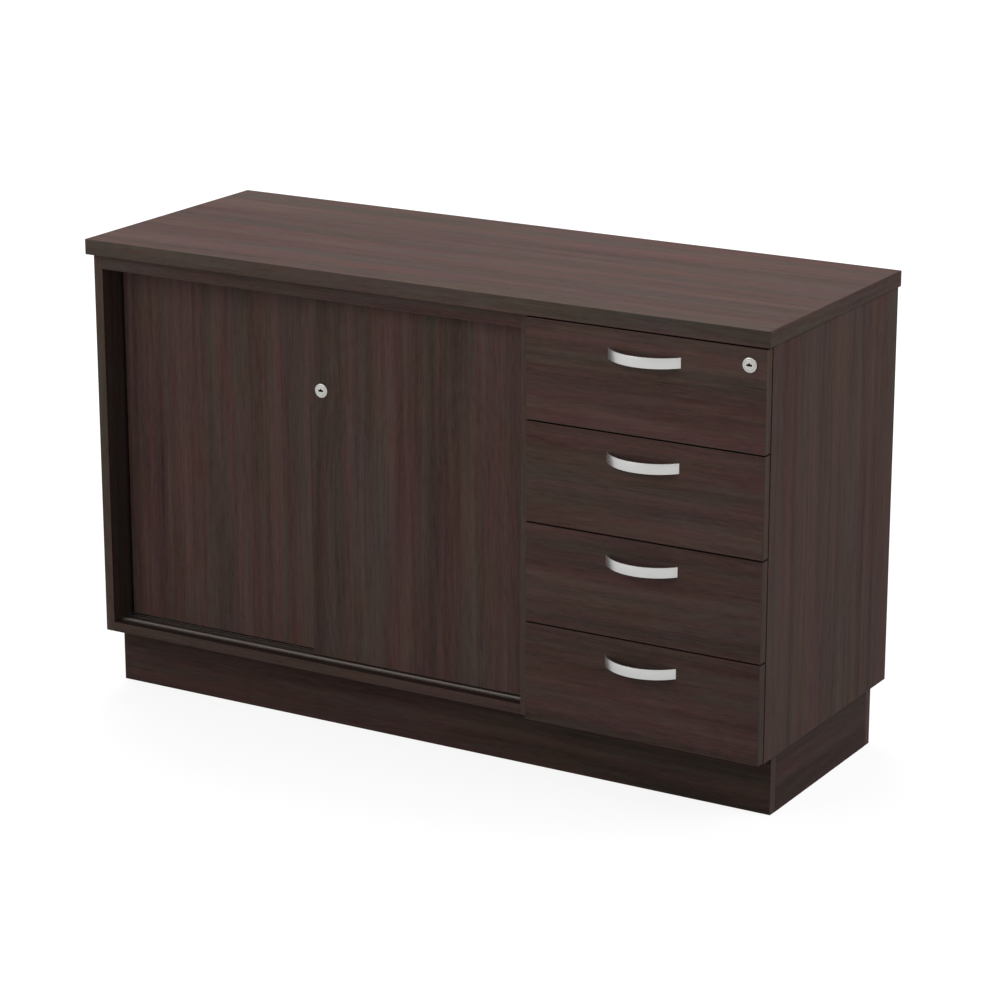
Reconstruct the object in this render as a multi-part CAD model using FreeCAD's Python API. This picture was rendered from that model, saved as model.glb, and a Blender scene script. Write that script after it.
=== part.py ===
"""Office credenza: a sliding-door cabinet and a four-drawer pedestal under one worktop, on one plinth.

Millimetres. +X runs to the right along the front, +Y to the back, +Z up. The origin lies on the floor,
under the middle of the whole object's outline, handles included.
"""
import FreeCAD, Part
import math
import os

Vector = FreeCAD.Vector
X_AXIS = Vector(1, 0, 0)
Y_AXIS = Vector(0, 1, 0)
Z_AXIS = Vector(0, 0, 1)

# ---------------------------------------------------------------- driving dimensions
# worktop and carcass
width = 1200.0
worktop_depth = 450.0
height = 750.0
worktop_thickness = 25.0
worktop_edge_radius = 1.5
panel = 16.0                      # every carcass panel, door and drawer front
back_thickness = 8.0
side_overhang = 3.0               # worktop past the carcass sides
back_overhang = 4.0               # worktop past the carcass back
pedestal_width = 396.0
front_rail_height = 25.0
top_rail_width = 80.0             # flat rails across the top of the pedestal

# plinth
plinth_height = 95.0
plinth_front_setback = 38.0
plinth_back_setback = 40.0
plinth_end_setback = 6.0

# sliding doors and their tracks
door_setback = 24.0               # carcass front edge to the face of the front door
door_gap = 5.0                    # between the two doors
door_end_gap = 6.5                # each closed door to its side panel
door_overlap = 18.0
door_clearance = 0.8              # door edges to both tracks
track_setback = 16.0              # carcass front edge to the bottom track
track_height = 3.5
track_back_margin = 7.0           # track past the rear door
track_step_depth = 3.0
track_step_height = 1.9
top_track_height = 6.0
groove_width = 4.0
groove_floor = 0.8                # metal or plastic left under each groove
land_groove_width = 2.0
land_groove_depth = 1.2
guide_length = 40.0
guide_thickness = 8.0
guide_depth = 12.0                # how far a guide is let into the door's edge
guide_inset = 45.0                # door's side edge to the near end of a guide
tongue_side_play = 0.3
tongue_end_play = 0.3

# shelf
shelf_rise = 290.0                # cabinet floor to the underside of the shelf
shelf_front_gap = 13.0            # rear door to the shelf's front edge
shelf_side_play = 1.0
shelf_back_play = 2.0
pin_diameter = 5.0
pin_depth = 9.0
pin_reach = 9.0
pin_pitch = 32.0
pin_rows_each_way = 2
pin_edge_distance = 30.0

# drawers
drawer_count = 4
front_setback = 1.0               # worktop edge to the face of the drawer fronts
front_clearance = 1.0             # back of the drawer fronts to the carcass edges
front_gap = 2.0                   # between fronts, under the worktop, and beside the cabinet
front_end_reveal = 1.0            # drawer fronts to the outer face of the right side
drawer_side = 12.0
drawer_base = 4.0
drawer_base_rise = 10.0           # underside of the drawer sides to the underside of the base
drawer_base_let_in = 5.0
drawer_bottom_space = 18.0        # lower edge of a front to the underside of its box
drawer_back_space = 21.0          # back of the box to the pedestal's back
runner_gap = 12.7                 # pedestal side to drawer side
runner_height = 35.0
runner_metal = 1.5
runner_play = 0.3
runner_setback = 3.0              # carcass front edge to the fixed runner member

# arched handles
handle_chord = 119.0
handle_rise = 28.0
handle_height = 16.0
handle_metal = 3.0
handle_edge_bevel = 0.6
handle_drop = 37.0                # upper edge of a front to the middle of its handle
handle_hole_spacing = 96.0
handle_post_diameter = 9.0
handle_screw_diameter = 4.0
handle_screw_length = 21.5
handle_screw_head = 8.0
handle_screw_head_height = 2.6

# locks
lock_bezel_diameter = 23.0
lock_bezel_height = 2.4
lock_body_diameter = 19.0
lock_plug_diameter = 16.5
lock_plug_depth = 8.0
lock_nut_height = 3.0
lock_nut_wall = 1.5
key_slot_length = 10.0
key_slot_width = 2.6
key_slot_depth = 5.0
key_notch_width = 3.0
key_notch_height = 1.6
drawer_lock_inset = 12.2          # inner face of the right side to the lock's axis
drawer_lock_drop = 25.4           # upper edge of the top front to the lock's axis
drawer_lock_reach = 20.0          # lock body behind the drawer front
drawer_lock_box_space = 2.6       # lock nut to the upper edge of the drawer box
door_lock_inset = 22.5            # left edge of the right door to the lock's axis
door_lock_rise = 434.0            # lower edge of the right door to the lock's axis
door_lock_reach = 4.0             # lock body behind the door
bolt_diameter = 8.0
bolt_length = 13.5

# lock bar with its pins
crank_radius = 7.0
crank_pin_diameter = 4.0
crank_pin_length = 8.0
crank_plate = 3.0
crank_plate_rim = 0.5             # plate past the crank pin
plug_shaft_diameter = 10.0
crank_slot_play = 0.4
lock_bar_width = 18.0
lock_bar_thickness = 3.0
lock_bar_play = 0.3
lock_bar_front = 10.0             # carcass front edge to the bar
lock_bar_foot = 20.0              # pedestal floor to the lower end of the bar when unlocked
lock_ear_wall = 3.0               # metal above and below the slot for the crank pin
lock_pin_diameter = 5.0
lock_pin_reach = 8.5
lock_pin_rise = 1.5               # upper face of a runner to the underside of its pin, unlocked
lock_pin_front = 5.0              # front edge of the bar to the pins' axes
catch_height = 8.0
catch_clearance = 3.5             # unlocked pin to the underside of the catch
catch_play = 2.5                  # pin to catch, locked
catch_reach = 10.0

# fasteners
cam_diameter = 15.0
cam_depth = 12.5
cam_distance = 34.0               # panel end to the middle of the cam
cam_bolt_diameter = 6.0
cam_bolt_anchor_diameter = 7.8
cam_bolt_anchor_depth = 11.0
cam_edge_distance = 50.0
worktop_screw_diameter = 4.0
worktop_screw_bite = 14.0
worktop_screw_head = 8.0
worktop_screw_head_height = 2.4
worktop_screw_end_distance = 120.0
module_bolt_diameter = 8.0
module_bolt_head = 14.0
module_bolt_head_height = 1.8
module_bolt_edge_distance = 82.0

fit = 0.05                        # radial clearance of pins, bolts and turning parts
panel_play = 0.1                  # let-in pieces in their pockets and grooves
seat = 0.1                        # end clearance of a fastener in its blind hole

# ---------------------------------------------------------------- places that follow from them
overall_depth = worktop_depth + handle_rise - front_setback
worktop_back = overall_depth / 2
worktop_front = worktop_back - worktop_depth
worktop_left = -width / 2
worktop_right = width / 2
carcass_left = worktop_left + side_overhang
carcass_right = worktop_right - side_overhang
carcass_bottom = plinth_height
carcass_top = height - worktop_thickness
carcass_back = worktop_back - back_overhang
drawer_face = worktop_front + front_setback
drawer_front_back = drawer_face + panel
carcass_front = drawer_front_back + front_clearance
module_line = carcass_right - pedestal_width

floor_top = carcass_bottom + panel          # upper face of both bottoms
ceiling = carcass_top - panel               # lower face of the top panel and rails
back_face = carcass_back - back_thickness   # front of the back panels

cabinet_in_left = carcass_left + panel
cabinet_in_right = module_line - panel
pedestal_in_left = module_line + panel
pedestal_in_right = carcass_right - panel

# doors: the right one runs in front of the left one
right_door_face = carcass_front + door_setback
left_door_face = right_door_face + panel + door_gap
track_front = carcass_front + track_setback
track_back = left_door_face + panel + track_back_margin
track_top = floor_top + track_height
top_track_foot = ceiling - top_track_height
door_bottom = track_top + door_clearance
door_top = top_track_foot - door_clearance
door_run = cabinet_in_right - cabinet_in_left - 2 * door_end_gap
door_width = (door_run + door_overlap) / 2
left_door_left = cabinet_in_left + door_end_gap
right_door_left = cabinet_in_right - door_end_gap - door_width
door_middles = (right_door_face + panel / 2, left_door_face + panel / 2)

# shelf
shelf_bottom = floor_top + shelf_rise
shelf_front = left_door_face + panel + shelf_front_gap
shelf_back = back_face - shelf_back_play
pin_columns = (shelf_front + pin_edge_distance, shelf_back - pin_edge_distance)
pin_axis = shelf_bottom - pin_diameter / 2

# drawer fronts
fronts_top = carcass_top - front_gap
fronts_bottom = carcass_bottom + front_gap
front_height = (fronts_top - fronts_bottom - (drawer_count - 1) * front_gap) / drawer_count
front_left = module_line + front_gap
front_right = carcass_right - front_end_reveal
front_middle = (front_left + front_right) / 2
front_pitch = front_height + front_gap

# drawer boxes, which end under the central lock
lock_nut_diameter = lock_body_diameter + 2 * lock_nut_wall
box_left = pedestal_in_left + runner_gap
box_right = pedestal_in_right - runner_gap
box_back = back_face - drawer_back_space
box_drop = drawer_lock_drop + lock_nut_diameter / 2 + drawer_lock_box_space
box_height = front_height - box_drop - drawer_bottom_space

# central lock and its bar
lock_axis_x = pedestal_in_right - drawer_lock_inset
lock_axis_z = fronts_top - drawer_lock_drop
crank_arm = crank_radius * math.sqrt(0.5)   # across and down from the axis at rest, up when locked
lock_body_back = drawer_front_back + drawer_lock_reach
crank_plate_front = lock_body_back + panel_play
crank_pin_front = crank_plate_front + crank_plate
bar_front = carcass_front + lock_bar_front
bar_inner = pedestal_in_right + lock_bar_play
crank_slot_half = crank_pin_diameter / 2 + crank_slot_play
crank_slot_z = lock_axis_z - crank_arm
bar_top = crank_slot_z + crank_slot_half + lock_ear_wall
bar_bottom = floor_top + lock_bar_foot


# ---------------------------------------------------------------- small shapes
def block(xs, ys, zs):
    """A box between two x, two y and two z values."""
    size = (xs[1] - xs[0], ys[1] - ys[0], zs[1] - zs[0])
    return Part.makeBox(*size, Vector(xs[0], ys[0], zs[0]))


def rod(diameter, length, start, axis):
    """A round bar from start along axis."""
    return Part.makeCylinder(diameter / 2, length, Vector(*start), axis)


def hole(diameter, length, start, axis):
    """The space that a rod of this diameter and length turns or sits in."""
    return rod(diameter + 2 * fit, length + seat, start, axis)


def profile_along_x(points, x_start, x_end):
    """A straight bar along X from an outline of (y, z) points."""
    outline = [Vector(x_start, y, z) for y, z in points]
    face = Part.Face(Part.makePolygon(outline + outline[:1]))
    return face.extrude(Vector(x_end - x_start, 0, 0))


def save(node, shapes):
    """Write one node's solids to its STEP file."""
    solids = [solid for shape in shapes for solid in shape.Solids]
    shape = solids[0] if len(solids) == 1 else Part.makeCompound(solids)
    shape.exportStep("parts/" + node + ".step")


def drawer_bottom_edge(number):
    """Lower edge of a drawer front; drawer 1 is the top one."""
    return fronts_top - front_height - (number - 1) * front_pitch


def box_bottom(number):
    return drawer_bottom_edge(number) + drawer_bottom_space


def runner_middle(number):
    return box_bottom(number) + box_height / 2


# ---------------------------------------------------------------- fasteners and the holes for them
# Each joint is (x of the panel end, side the panel lies on, y, z of the bolt, mouth of the cam's bore).
def cam_joints(x_left, x_right, y_front, y_back, z_bottom, cams_below):
    """The four cam joints of a flat panel between two sides."""
    mouth = z_bottom if cams_below else z_bottom + panel
    joints = []
    for y in (y_front + cam_edge_distance, y_back - cam_edge_distance):
        joints.append((x_left, 1, y, z_bottom + panel / 2, mouth))
        joints.append((x_right, -1, y, z_bottom + panel / 2, mouth))
    return joints


def rail_cam_joints(y_middle):
    """The two cam joints of one flat top rail of the pedestal."""
    middle = ceiling + panel / 2
    return [(pedestal_in_left, 1, y_middle, middle, carcass_top),
            (pedestal_in_right, -1, y_middle, middle, carcass_top)]


cabinet_bottom_joints = cam_joints(cabinet_in_left, cabinet_in_right, carcass_front, carcass_back,
                                   carcass_bottom, True)
cabinet_top_joints = cam_joints(cabinet_in_left, cabinet_in_right, carcass_front + panel, carcass_back,
                                ceiling, False)
pedestal_bottom_joints = cam_joints(pedestal_in_left, pedestal_in_right, carcass_front, carcass_back,
                                    carcass_bottom, True)
front_rail_middle = carcass_front + top_rail_width / 2
rear_rail_middle = carcass_back - top_rail_width / 2
top_rail_joints = rail_cam_joints(front_rail_middle) + rail_cam_joints(rear_rail_middle)
all_joints = cabinet_bottom_joints + cabinet_top_joints + pedestal_bottom_joints + top_rail_joints


def cam(joint, spare=0.0):
    """A cam housing, let in flush with the hidden face of its panel."""
    x, side, y, _, mouth = joint
    axis = Z_AXIS if mouth == carcass_bottom else -Z_AXIS
    return rod(cam_diameter + 2 * spare, cam_depth + 2 * spare, (x + side * cam_distance, y, mouth), axis)


def cam_bolt(joint, spare=0.0):
    """A bolt anchored in the side panel, running in the panel's edge up to its cam.

    With some spare it is the bolt's bore, which opens into the cam's.
    """
    x, side, y, z, _ = joint
    axis = Vector(side, 0, 0)
    anchor_length = cam_bolt_anchor_depth + spare
    anchor_start = (x - side * anchor_length, y, z)
    anchor = rod(cam_bolt_anchor_diameter + 2 * spare, anchor_length, anchor_start, axis)
    shank_length = cam_distance if spare else cam_distance - cam_diameter / 2 - seat
    shank = rod(cam_bolt_diameter + 2 * spare, shank_length, (x, y, z), axis)
    return anchor.fuse(shank)


def cut_cam_bores(shape, joints):
    """Bore a flat panel for its cams and their bolts."""
    for joint in joints:
        shape = shape.cut(cam(joint, fit)).cut(cam_bolt(joint, fit))
    return shape


def cut_anchor_bores(shape, x_face):
    """Bore a side panel for every cam bolt that is anchored in its inner face."""
    for joint in all_joints:
        if joint[0] == x_face:
            shape = shape.cut(cam_bolt(joint, fit))
    return shape


def worktop_screw_places():
    """Middles of the screws that hold the worktop, in the cabinet top and in the pedestal's rails."""
    inset = worktop_screw_end_distance
    cabinet_ys = (carcass_front + panel + top_rail_width, rear_rail_middle)
    pedestal_ys = (front_rail_middle, rear_rail_middle)
    cabinet = [(x, y) for x in (cabinet_in_left + inset, cabinet_in_right - inset) for y in cabinet_ys]
    pedestal = [(x, y) for x in (pedestal_in_left + inset, pedestal_in_right - inset) for y in pedestal_ys]
    return cabinet + pedestal


def worktop_screw(place, spare=0.0):
    x, y = place
    shank_length = panel + worktop_screw_bite + spare
    shank = rod(worktop_screw_diameter + 2 * spare, shank_length, (x, y, ceiling), Z_AXIS)
    head_start = (x, y, ceiling - worktop_screw_head_height)
    return shank.fuse(rod(worktop_screw_head, worktop_screw_head_height, head_start, Z_AXIS))


def cut_worktop_screws(shape):
    for place in worktop_screw_places():
        shape = shape.cut(worktop_screw(place, fit))
    return shape


def module_bolt_places():
    """Bolts that join cabinet and pedestal, between the drawer runners' heights."""
    ys = (carcass_front + module_bolt_edge_distance, carcass_back - module_bolt_edge_distance)
    zs = [runner_middle(number) - front_pitch / 2 for number in (1, drawer_count - 1)]
    return [(y, z) for y in ys for z in zs]


def module_bolt(place, spare=0.0):
    y, z = place
    length = 2 * panel
    shank = rod(module_bolt_diameter + 2 * spare, length, (module_line - panel, y, z), X_AXIS)
    heads = []
    for start in (module_line - panel - module_bolt_head_height, module_line + panel):
        heads.append(rod(module_bolt_head, module_bolt_head_height, (start, y, z), X_AXIS))
    return shank.fuse(heads)


def cut_module_bolts(shape):
    for place in module_bolt_places():
        shape = shape.cut(module_bolt(place, fit))
    return shape


# ---------------------------------------------------------------- worktop and cabinet
def worktop():
    board = block((worktop_left, worktop_right), (worktop_front, worktop_back), (carcass_top, height))
    long_edges = [edge for edge in board.Edges if abs(edge.Vertexes[0].Z - edge.Vertexes[-1].Z) < fit]
    return cut_worktop_screws(board.makeFillet(worktop_edge_radius, long_edges))


def side_panel(x_start, x_inner):
    """A full-height side, bored for the cam bolts that end in its inner face."""
    board = block((x_start, x_start + panel), (carcass_front, carcass_back), (carcass_bottom, carcass_top))
    return cut_anchor_bores(board, x_inner)


def shelf_pin_heights():
    steps = range(-pin_rows_each_way, pin_rows_each_way + 1)
    return [pin_axis + step * pin_pitch for step in steps]


def cut_pin_rows(shape, x_face, direction):
    """Two rows of blind shelf-pin holes in a cabinet side; direction points into the panel."""
    for y in pin_columns:
        for z in shelf_pin_heights():
            shape = shape.cut(hole(pin_diameter, pin_depth, (x_face, y, z), Vector(direction, 0, 0)))
    return shape


def cabinet_left_side():
    return cut_pin_rows(side_panel(carcass_left, cabinet_in_left), cabinet_in_left, -1)


def cabinet_right_side():
    side = cut_pin_rows(side_panel(cabinet_in_right, cabinet_in_right), cabinet_in_right, 1)
    return cut_module_bolts(side)


def cabinet_bottom():
    xs = (cabinet_in_left, cabinet_in_right)
    board = block(xs, (carcass_front, carcass_back), (carcass_bottom, floor_top))
    return cut_cam_bores(board, cabinet_bottom_joints)


def cabinet_top():
    ys = (carcass_front + panel, carcass_back)
    board = block((cabinet_in_left, cabinet_in_right), ys, (ceiling, carcass_top))
    return cut_worktop_screws(cut_cam_bores(board, cabinet_top_joints))


def cabinet_front_rail():
    """The strip under the worktop that hides the doors' top track."""
    ys = (carcass_front, carcass_front + panel)
    return block((cabinet_in_left, cabinet_in_right), ys, (carcass_top - front_rail_height, carcass_top))


def back_panel(x_left, x_right):
    return block((x_left, x_right), (back_face, carcass_back), (floor_top, ceiling))


def shelf():
    xs = (cabinet_in_left + shelf_side_play, cabinet_in_right - shelf_side_play)
    return block(xs, (shelf_front, shelf_back), (shelf_bottom, shelf_bottom + panel))


def shelf_pins():
    pins = []
    for y in pin_columns:
        for x, direction in ((cabinet_in_left, 1), (cabinet_in_right, -1)):
            start = (x - direction * pin_depth, y, pin_axis)
            pins.append(rod(pin_diameter, pin_depth + pin_reach, start, Vector(direction, 0, 0)))
    return pins


# ---------------------------------------------------------------- door tracks
def bottom_track():
    """Twin track with a stepped front edge and one groove under the middle of each door."""
    half = groove_width / 2
    half_land = land_groove_width / 2
    groove_z = floor_top + groove_floor
    land_z = track_top - land_groove_depth
    land_middle = sum(door_middles) / 2
    points = [(track_front, floor_top), (track_back, floor_top), (track_back, track_top)]
    for middle, reach, depth_z in ((door_middles[1], half, groove_z), (land_middle, half_land, land_z),
                                   (door_middles[0], half, groove_z)):
        points += [(middle + reach, track_top), (middle + reach, depth_z)]
        points += [(middle - reach, depth_z), (middle - reach, track_top)]
    step_y = track_front + track_step_depth
    step_z = floor_top + track_step_height
    points += [(step_y, track_top), (step_y, step_z), (track_front, step_z)]
    return profile_along_x(points, cabinet_in_left, cabinet_in_right)


def top_track():
    """Twin track under the cabinet top, with its grooves opening downwards."""
    half = groove_width / 2
    roof = ceiling - groove_floor
    front = carcass_front + panel
    points = [(front, ceiling), (front, top_track_foot)]
    for middle in door_middles:
        points += [(middle - half, top_track_foot), (middle - half, roof)]
        points += [(middle + half, roof), (middle + half, top_track_foot)]
    points += [(track_back, top_track_foot), (track_back, ceiling)]
    return profile_along_x(points, cabinet_in_left, cabinet_in_right)


# ---------------------------------------------------------------- sliding doors
def door_guides(door_left, y_middle):
    """Two top guides and two bottom glides: blocks let into the door's edges, with tongues in the tracks."""
    half_block = guide_thickness / 2
    half_tongue = groove_width / 2 - tongue_side_play
    tongue_foot = floor_top + groove_floor + tongue_end_play
    tongue_head = ceiling - groove_floor - tongue_end_play
    starts = (door_left + guide_inset, door_left + door_width - guide_inset - guide_length)
    guides = []
    for x in starts:
        xs = (x, x + guide_length)
        block_ys = (y_middle - half_block, y_middle + half_block)
        tongue_ys = (y_middle - half_tongue, y_middle + half_tongue)
        lower = block(xs, block_ys, (door_bottom, door_bottom + guide_depth))
        guides.append(lower.fuse(block(xs, tongue_ys, (tongue_foot, door_bottom))))
        upper = block(xs, block_ys, (door_top - guide_depth, door_top))
        guides.append(upper.fuse(block(xs, tongue_ys, (door_top, tongue_head))))
    return guides


def door(door_left, y_face):
    """A sliding door, pocketed for its guides."""
    board = block((door_left, door_left + door_width), (y_face, y_face + panel), (door_bottom, door_top))
    half_pocket = guide_thickness / 2 + panel_play
    middle = y_face + panel / 2
    ys = (middle - half_pocket, middle + half_pocket)
    for x in (door_left + guide_inset, door_left + door_width - guide_inset - guide_length):
        xs = (x - panel_play, x + guide_length + panel_play)
        board = board.cut(block(xs, ys, (door_bottom, door_bottom + guide_depth + panel_play)))
        board = board.cut(block(xs, ys, (door_top - guide_depth - panel_play, door_top)))
    return board


# ---------------------------------------------------------------- locks
def key_slot(x, z, y_front):
    """The keyway across a plug's face, with its small notch above the middle."""
    half_length = key_slot_length / 2
    half_width = key_slot_width / 2
    half_notch = key_notch_width / 2
    ys = (y_front, y_front + key_slot_depth)
    slot = block((x - half_length, x + half_length), ys, (z - half_width, z + half_width))
    notch = block((x - half_notch, x + half_notch), ys, (z, z + half_width + key_notch_height))
    return slot.fuse(notch)


def lock_housing(x, z, y_face, body_length, bore_diameter):
    """Bezel and body of a lock, bored for its plug and, behind that, for what the plug drives."""
    y_front = y_face - lock_bezel_height
    bezel = rod(lock_bezel_diameter, lock_bezel_height, (x, y_front, z), Y_AXIS)
    rim = [edge for edge in bezel.Edges if abs(edge.CenterOfMass.y - y_front) < fit]
    bezel = bezel.makeFillet(lock_bezel_height / 2, rim[:1])
    body = bezel.fuse(rod(lock_body_diameter, body_length, (x, y_face, z), Y_AXIS))
    body = body.cut(hole(lock_plug_diameter, lock_plug_depth, (x, y_front, z), Y_AXIS))
    return body.cut(rod(bore_diameter + 2 * fit, body_length + lock_bezel_height, (x, y_front, z), Y_AXIS))


def lock_nut(x, z, y_start):
    ring = rod(lock_nut_diameter, lock_nut_height, (x, y_start, z), Y_AXIS)
    return ring.cut(hole(lock_body_diameter, lock_nut_height, (x, y_start, z), Y_AXIS))


def lock_hole(x, z, y_face):
    """The hole through a front or door for a lock's body."""
    return rod(lock_body_diameter + 2 * panel_play, panel, (x, y_face, z), Y_AXIS)


door_lock_x = right_door_left + door_lock_inset
door_lock_z = door_bottom + door_lock_rise
door_lock_back = right_door_face + panel + door_lock_reach


def door_lock_plug():
    y_front = right_door_face - lock_bezel_height
    plug = rod(lock_plug_diameter, lock_plug_depth, (door_lock_x, y_front, door_lock_z), Y_AXIS)
    return plug.cut(key_slot(door_lock_x, door_lock_z, y_front))


def door_lock_bolt():
    start = (door_lock_x, door_lock_back - bolt_length, door_lock_z)
    return rod(bolt_diameter, bolt_length, start, Y_AXIS)


def drawer_lock_plug():
    """Plug, shaft and crank of the central lock; unlocked, the crank pin stands down and to the right."""
    y_front = drawer_face - lock_bezel_height
    shaft_start = y_front + lock_plug_depth
    shaft_length = crank_plate_front - shaft_start
    plug = rod(lock_plug_diameter, lock_plug_depth, (lock_axis_x, y_front, lock_axis_z), Y_AXIS)
    plug = plug.cut(key_slot(lock_axis_x, lock_axis_z, y_front))
    shaft = rod(plug_shaft_diameter, shaft_length, (lock_axis_x, shaft_start, lock_axis_z), Y_AXIS)
    plate_diameter = 2 * (crank_radius + crank_plate_rim) + crank_pin_diameter
    plate = rod(plate_diameter, crank_plate, (lock_axis_x, crank_plate_front, lock_axis_z), Y_AXIS)
    pin_start = (lock_axis_x + crank_arm, crank_pin_front, crank_slot_z)
    pin = rod(crank_pin_diameter, crank_pin_length, pin_start, Y_AXIS)
    return plug.fuse([shaft, plate, pin])


def lock_pin_height(number):
    return runner_middle(number) + runner_height / 2 + lock_pin_rise + lock_pin_diameter / 2


def drawer_lock_bar():
    """Flat bar let into the right side, with a forked ear on the crank pin and one pin for each drawer.

    Turning the plug lifts the bar, and each pin then stands in front of its drawer's catch.
    """
    xs = (bar_inner, bar_inner + lock_bar_thickness)
    bar_back = bar_front + lock_bar_width
    bar = block(xs, (bar_front, bar_back), (bar_bottom, bar_top))
    ear_left = lock_axis_x + crank_arm - crank_pin_diameter
    ear_ys = (bar_back - lock_bar_thickness, bar_back)
    slot_zs = (crank_slot_z - crank_slot_half, crank_slot_z + crank_slot_half)
    slot_end = lock_axis_x + crank_radius + crank_slot_half
    ear = block((ear_left, bar_inner), ear_ys, (slot_zs[0] - lock_ear_wall, bar_top))
    slot = block((ear_left, slot_end), ear_ys, slot_zs)
    bar = bar.fuse(ear.cut(slot))
    for number in range(1, drawer_count + 1):
        start = (bar_inner - lock_pin_reach, bar_front + lock_pin_front, lock_pin_height(number))
        bar = bar.fuse(rod(lock_pin_diameter, lock_pin_reach, start, X_AXIS))
    return bar


# ---------------------------------------------------------------- pedestal
def pedestal_left_side():
    return cut_module_bolts(side_panel(module_line, pedestal_in_left))


def pedestal_right_side():
    """The side that holds the lock bar in a groove behind the drawer fronts."""
    groove_depth = lock_bar_thickness + 2 * lock_bar_play
    xs = (pedestal_in_right, pedestal_in_right + groove_depth)
    ys = (bar_front - lock_bar_play, bar_front + lock_bar_width + lock_bar_play)
    return side_panel(pedestal_in_right, pedestal_in_right).cut(block(xs, ys, (floor_top, carcass_top)))


def pedestal_bottom():
    xs = (pedestal_in_left, pedestal_in_right)
    board = block(xs, (carcass_front, carcass_back), (carcass_bottom, floor_top))
    return cut_cam_bores(board, pedestal_bottom_joints)


def pedestal_top_rails():
    rails = []
    for middle in (front_rail_middle, rear_rail_middle):
        ys = (middle - top_rail_width / 2, middle + top_rail_width / 2)
        rail = block((pedestal_in_left, pedestal_in_right), ys, (ceiling, carcass_top))
        rails.append(cut_worktop_screws(cut_cam_bores(rail, top_rail_joints)))
    return rails


# ---------------------------------------------------------------- plinth
plinth_left = carcass_left + plinth_end_setback
plinth_right = carcass_right - plinth_end_setback
plinth_front_y = carcass_front + plinth_front_setback
plinth_back_y = carcass_back - plinth_back_setback


def plinth_board(y_start):
    return block((plinth_left, plinth_right), (y_start, y_start + panel), (0, plinth_height))


def plinth_cross_rails():
    """Two end rails, and one under the line where cabinet and pedestal meet."""
    ys = (plinth_front_y + panel, plinth_back_y - panel)
    starts = (plinth_left, module_line - panel / 2, plinth_right - panel)
    return [block((x, x + panel), ys, (0, plinth_height)) for x in starts]


# ---------------------------------------------------------------- runners and drawers
def fixed_runner(x_wall, side, z_middle):
    """A C-shaped member on a pedestal side; side points from the wall to the drawer."""
    ys = (carcass_front + runner_setback, box_back)
    zs = (z_middle - runner_height / 2, z_middle + runner_height / 2)
    lip = x_wall + side * (runner_gap - runner_metal - 2 * runner_play)
    inner_zs = (zs[0] + runner_metal, zs[1] - runner_metal)
    outer = block(sorted((x_wall, lip)), ys, zs)
    inner = block(sorted((x_wall + side * runner_metal, lip)), ys, inner_zs)
    return outer.cut(inner)


def drawer_runners():
    members = []
    for number in range(1, drawer_count + 1):
        members.append(fixed_runner(pedestal_in_left, 1, runner_middle(number)))
        members.append(fixed_runner(pedestal_in_right, -1, runner_middle(number)))
    return members


def moving_runner(x_drawer, side, z_middle):
    """A U-shaped member on a drawer side, inside the fixed one; side points away from the drawer."""
    ys = (carcass_front + runner_setback, box_back)
    half = runner_height / 2 - runner_metal - runner_play
    zs = (z_middle - half, z_middle + half)
    tip = x_drawer + side * (runner_gap - runner_metal - runner_play)
    inner_zs = (zs[0] + runner_metal, zs[1] - runner_metal)
    outer = block(sorted((x_drawer, tip)), ys, zs)
    inner = block(sorted((x_drawer + side * runner_metal, tip)), ys, inner_zs)
    return outer.cut(inner)


def lock_catch(number):
    """The bent tab on a drawer's right runner that the raised lock pin holds back."""
    pin_back = bar_front + lock_pin_front + lock_pin_diameter / 2
    tab_front = pin_back + catch_play
    foot = lock_pin_height(number) + lock_pin_diameter / 2 + catch_clearance
    tab_zs = (foot, foot + catch_height)
    web_zs = (runner_middle(number), foot + catch_height)
    web = block((box_right, box_right + runner_metal), (tab_front, tab_front + catch_reach), web_zs)
    tab = block((box_right, box_right + catch_reach), (tab_front, tab_front + runner_metal), tab_zs)
    return web.fuse(tab)


def drawer_slides(number):
    z_middle = runner_middle(number)
    left = moving_runner(box_left, -1, z_middle)
    right = moving_runner(box_right, 1, z_middle).fuse(lock_catch(number))
    return [left, right]


def drawer_base_space(number, play):
    """Where the hardboard base lies: let into the front and both sides, and running out under the back."""
    z = box_bottom(number) + drawer_base_rise
    side_left = drawer_side - drawer_base_let_in - play
    xs = (box_left + side_left, box_right - side_left)
    ys = (drawer_front_back - drawer_base_let_in - play, box_back)
    return block(xs, ys, (z - play, z + drawer_base + play))


def drawer_box(number):
    """Two sides and a back; the back stands on the base."""
    z_start = box_bottom(number)
    zs = (z_start, z_start + box_height)
    groove = drawer_base_space(number, panel_play)
    sides = []
    for x in (box_left, box_right - drawer_side):
        sides.append(block((x, x + drawer_side), (drawer_front_back, box_back), zs).cut(groove))
    back_zs = (z_start + drawer_base_rise + drawer_base + panel_play, zs[1])
    back_ys = (box_back - drawer_side, box_back)
    return sides + [block((box_left + drawer_side, box_right - drawer_side), back_ys, back_zs)]


def handle_screw_places(number):
    z = drawer_bottom_edge(number) + front_height - handle_drop
    return [(front_middle + side * handle_hole_spacing / 2, z) for side in (-1, 1)]


def handle_screw(place, spare=0.0):
    """A screw from inside the drawer, through the front, into the handle's post."""
    x, z = place
    start = (x, drawer_front_back + handle_screw_head_height, z)
    backwards = Vector(0, -1, 0)
    head = rod(handle_screw_head, handle_screw_head_height, start, backwards)
    shank_length = handle_screw_length + spare
    shank = rod(handle_screw_diameter + 2 * spare, shank_length, (x, drawer_front_back, z), backwards)
    return head.fuse(shank)


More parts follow.
